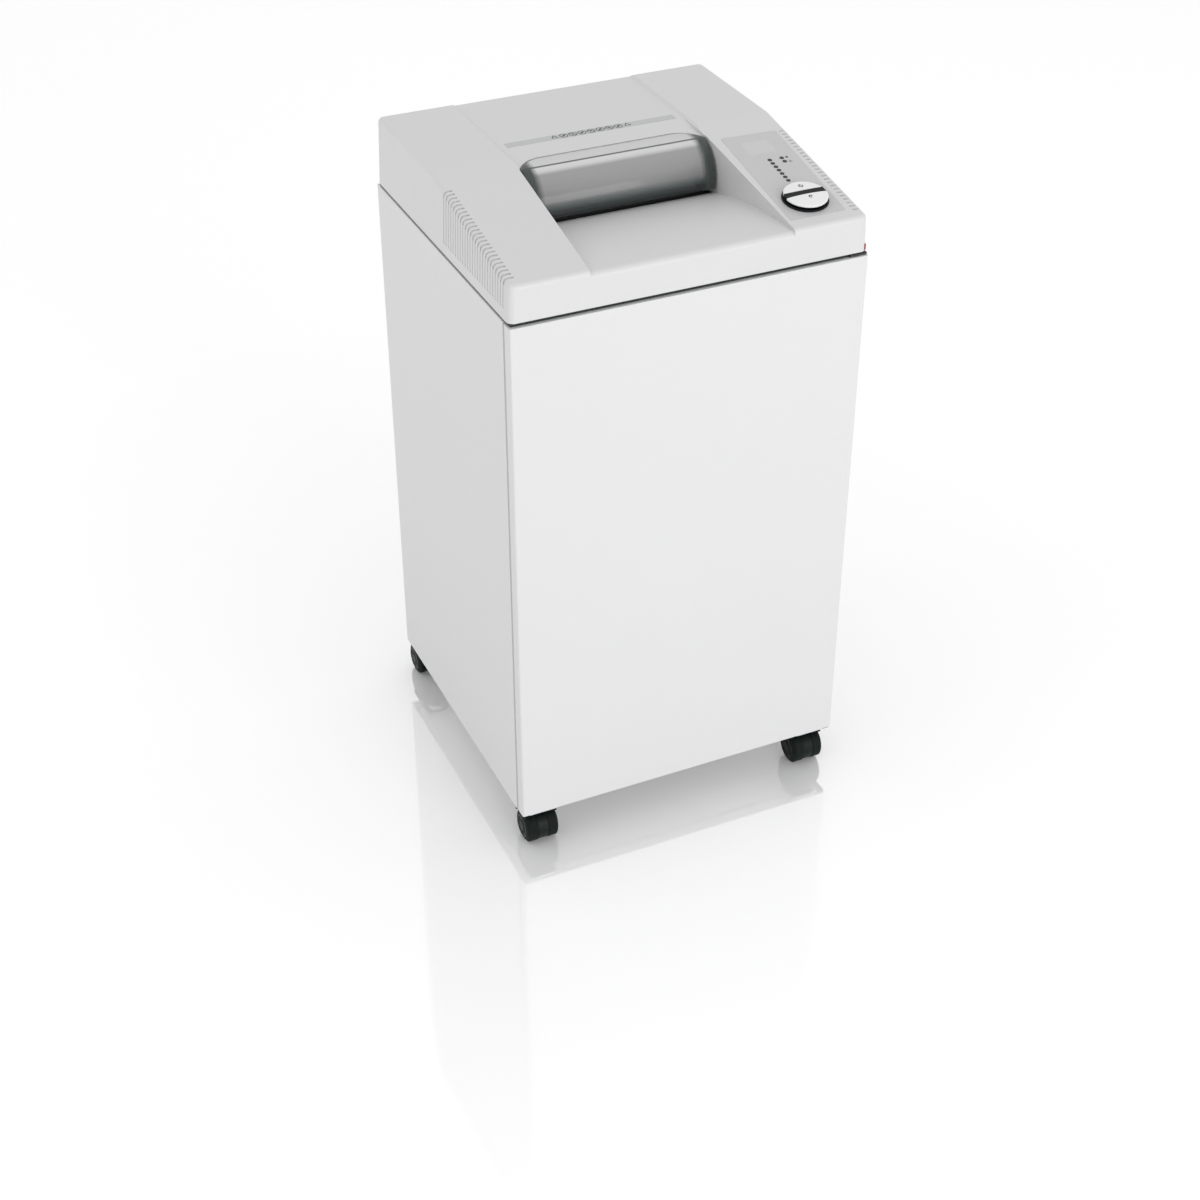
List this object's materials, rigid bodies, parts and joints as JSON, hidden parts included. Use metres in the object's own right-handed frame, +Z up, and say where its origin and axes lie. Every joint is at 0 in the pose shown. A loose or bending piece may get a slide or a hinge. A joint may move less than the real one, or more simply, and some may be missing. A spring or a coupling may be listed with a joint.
{
  "type": "paper shredder",
  "caption": "Deskside paper shredder on swivel castors: a board cabinet with a full-height door under a plastic head with a sloping feed valley and a smoked safety flap.",
  "frame": {"origin": "on the floor under the middle of the whole machine", "axes": "+Z up, -Y towards the user (the door side), +X to the user's right"},
  "size_m": [0.495, 0.4919, 0.926],
  "materials": {
    "laminate_board": "light grey melamine-faced board",
    "cover_plastic": "light grey moulded plastic, fine texture",
    "smoked_plastic": "smoked transparent",
    "dark_plastic": "near-black moulded plastic",
    "castor_plastic": "black moulded nylon",
    "bush_plastic": "natural nylon",
    "bin_plastic": "mid grey moulded plastic",
    "panel_foil": "grey printed foil",
    "lamp_plastic": "tinted lamp windows",
    "white_plastic": "glossy white",
    "black_plastic": "satin black",
    "red_plastic": "signal red",
    "strip_foil": "pale printed foil",
    "circuit_board": "coated laminate",
    "plated_steel": "zinc plated",
    "machined_steel": "hardened, ground",
    "painted_tray": "dark grey powder coat",
    "galvanised": "grey coated sheet",
    "motor_paint": "dark grey enamel",
    "cast_aluminium": "die cast",
    "bronze": "sintered"
  },
  "bodies": {
    "cabinet": {"cabinet_left_side": "laminate_board", "cabinet_right_side": "laminate_board", "cabinet_back": "laminate_board", "cabinet_floor": "laminate_board", "cabinet_top_board": "laminate_board", "castor_plates": "plated_steel", "castor_screws": "plated_steel", "lower_hinge_plate": "plated_steel", "upper_hinge_plate": "plated_steel", "left_side_plate": "plated_steel", "right_side_plate": "plated_steel", "tie_rods": "plated_steel", "flap_pins": "plated_steel", "door_catch": "white_plastic", "door_sensor": "black_plastic", "button_socket": "black_plastic", "mains_switch_frame": "black_plastic", "shred_bin": "bin_plastic", "head_cover": "cover_plastic", "base_tray": "painted_tray", "feed_throat": "dark_plastic", "paper_sensors": "dark_plastic", "mains_inlet": "dark_plastic", "stripper_combs": "dark_plastic", "control_panel_foil": "panel_foil", "lamp_windows": "lamp_plastic", "control_board": "circuit_board", "hazard_strip": "strip_foil", "cutter_bearings": "bronze", "idler_axle": "machined_steel", "drop_chute": "galvanised", "motor_can": "motor_paint", "motor_end_bells": "cast_aluminium", "run_capacitor": "cast_aluminium"},
    "door": {"door": "laminate_board", "door_bushes": "bush_plastic", "door_strike": "plated_steel"},
    "flap": {"flap": "smoked_plastic"},
    "rocker_button": {"rocker_core": "black_plastic", "rocker_caps": "white_plastic"},
    "mains_rocker": {"mains_rocker": "red_plastic"},
    "motor_rotor": {"motor_rotor": "machined_steel"},
    "idler": {"idler_gear": "machined_steel"},
    "front_cutter": {"front_cutter": "machined_steel", "front_timing_gear": "machined_steel"},
    "rear_cutter": {"rear_cutter": "machined_steel", "rear_timing_gear": "machined_steel", "main_gear": "machined_steel"},
    "front_left_castor": {"front_left_castor_fork": "castor_plastic"},
    "front_left_outer_wheel": {"front_left_outer_wheel": "castor_plastic"},
    "front_left_inner_wheel": {"front_left_inner_wheel": "castor_plastic"},
    "front_right_castor": {"front_right_castor_fork": "castor_plastic"},
    "front_right_outer_wheel": {"front_right_outer_wheel": "castor_plastic"},
    "front_right_inner_wheel": {"front_right_inner_wheel": "castor_plastic"},
    "rear_left_castor": {"rear_left_castor_fork": "castor_plastic"},
    "rear_left_outer_wheel": {"rear_left_outer_wheel": "castor_plastic"},
    "rear_left_inner_wheel": {"rear_left_inner_wheel": "castor_plastic"},
    "rear_right_castor": {"rear_right_castor_fork": "castor_plastic"},
    "rear_right_outer_wheel": {"rear_right_outer_wheel": "castor_plastic"},
    "rear_right_inner_wheel": {"rear_right_inner_wheel": "castor_plastic"}
  },
  "joints": [
    {"name": "door_hinge", "type": "hinge", "parent": "cabinet", "child": "door", "pos_m": [0.24, -0.2365, 0.4465], "axis": [0, 0, 1], "range_deg": [0, 110]},
    {"name": "flap_hinge", "type": "hinge", "parent": "cabinet", "child": "flap", "pos_m": [0, 0.0145, 0.917], "axis": [-1, 0, 0], "range_deg": [0, 45]},
    {"name": "rocker_button_tilt", "type": "hinge", "parent": "cabinet", "child": "rocker_button", "pos_m": [0.185, -0.18472, 0.88934], "axis": [1, 0, 0], "range_deg": [-3.5, 3.5], "stiffness_Nm_per_rad": 0.5},
    {"name": "mains_rocker_tilt", "type": "hinge", "parent": "cabinet", "child": "mains_rocker", "pos_m": [0.2383, -0.2292, 0.8377], "axis": [0, 0, 1], "range_deg": [-14, 0]},
    {"name": "motor_spin", "type": "hinge", "parent": "cabinet", "child": "motor_rotor", "pos_m": [-0.056, 0.0659, 0.873], "axis": [1, 0, 0], "continuous": true},
    {"name": "idler_spin", "type": "hinge", "parent": "cabinet", "child": "idler", "pos_m": [-0.168, 0.021, 0.876], "axis": [1, 0, 0], "continuous": true},
    {"name": "rear_cutter_spin", "type": "hinge", "parent": "cabinet", "child": "rear_cutter", "pos_m": [0, -0.003, 0.806], "axis": [1, 0, 0], "continuous": true},
    {"name": "front_cutter_spin", "type": "hinge", "parent": "cabinet", "child": "front_cutter", "pos_m": [0, -0.049, 0.806], "axis": [1, 0, 0], "continuous": true},
    {"name": "front_left_castor_swivel", "type": "hinge", "parent": "cabinet", "child": "front_left_castor", "pos_m": [-0.215, -0.198, 0.059], "axis": [0, 0, 1], "continuous": true},
    {"name": "front_left_outer_wheel_spin", "type": "hinge", "parent": "front_left_castor", "child": "front_left_outer_wheel", "pos_m": [-0.231, -0.2199, 0.025], "axis": [1, 0, 0], "continuous": true},
    {"name": "front_left_inner_wheel_spin", "type": "hinge", "parent": "front_left_castor", "child": "front_left_inner_wheel", "pos_m": [-0.199, -0.2199, 0.025], "axis": [1, 0, 0], "continuous": true},
    {"name": "front_right_castor_swivel", "type": "hinge", "parent": "cabinet", "child": "front_right_castor", "pos_m": [0.215, -0.198, 0.059], "axis": [0, 0, 1], "continuous": true},
    {"name": "front_right_outer_wheel_spin", "type": "hinge", "parent": "front_right_castor", "child": "front_right_outer_wheel", "pos_m": [0.231, -0.2199, 0.025], "axis": [1, 0, 0], "continuous": true},
    {"name": "front_right_inner_wheel_spin", "type": "hinge", "parent": "front_right_castor", "child": "front_right_inner_wheel", "pos_m": [0.199, -0.2199, 0.025], "axis": [1, 0, 0], "continuous": true},
    {"name": "rear_left_castor_swivel", "type": "hinge", "parent": "cabinet", "child": "rear_left_castor", "pos_m": [-0.215, 0.199, 0.059], "axis": [0, 0, 1], "continuous": true},
    {"name": "rear_left_outer_wheel_spin", "type": "hinge", "parent": "rear_left_castor", "child": "rear_left_outer_wheel", "pos_m": [-0.231, 0.2209, 0.025], "axis": [1, 0, 0], "continuous": true},
    {"name": "rear_left_inner_wheel_spin", "type": "hinge", "parent": "rear_left_castor", "child": "rear_left_inner_wheel", "pos_m": [-0.199, 0.2209, 0.025], "axis": [1, 0, 0], "continuous": true},
    {"name": "rear_right_castor_swivel", "type": "hinge", "parent": "cabinet", "child": "rear_right_castor", "pos_m": [0.215, 0.199, 0.059], "axis": [0, 0, 1], "continuous": true},
    {"name": "rear_right_outer_wheel_spin", "type": "hinge", "parent": "rear_right_castor", "child": "rear_right_outer_wheel", "pos_m": [0.231, 0.2209, 0.025], "axis": [1, 0, 0], "continuous": true},
    {"name": "rear_right_inner_wheel_spin", "type": "hinge", "parent": "rear_right_castor", "child": "rear_right_inner_wheel", "pos_m": [0.199, 0.2209, 0.025], "axis": [1, 0, 0], "continuous": true}
  ],
  "couplings": [
    {"joint": "idler_spin", "follows": "motor_spin", "ratio": -0.2},
    {"joint": "rear_cutter_spin", "follows": "motor_spin", "ratio": 0.050847},
    {"joint": "front_cutter_spin", "follows": "motor_spin", "ratio": -0.050847}
  ]
}
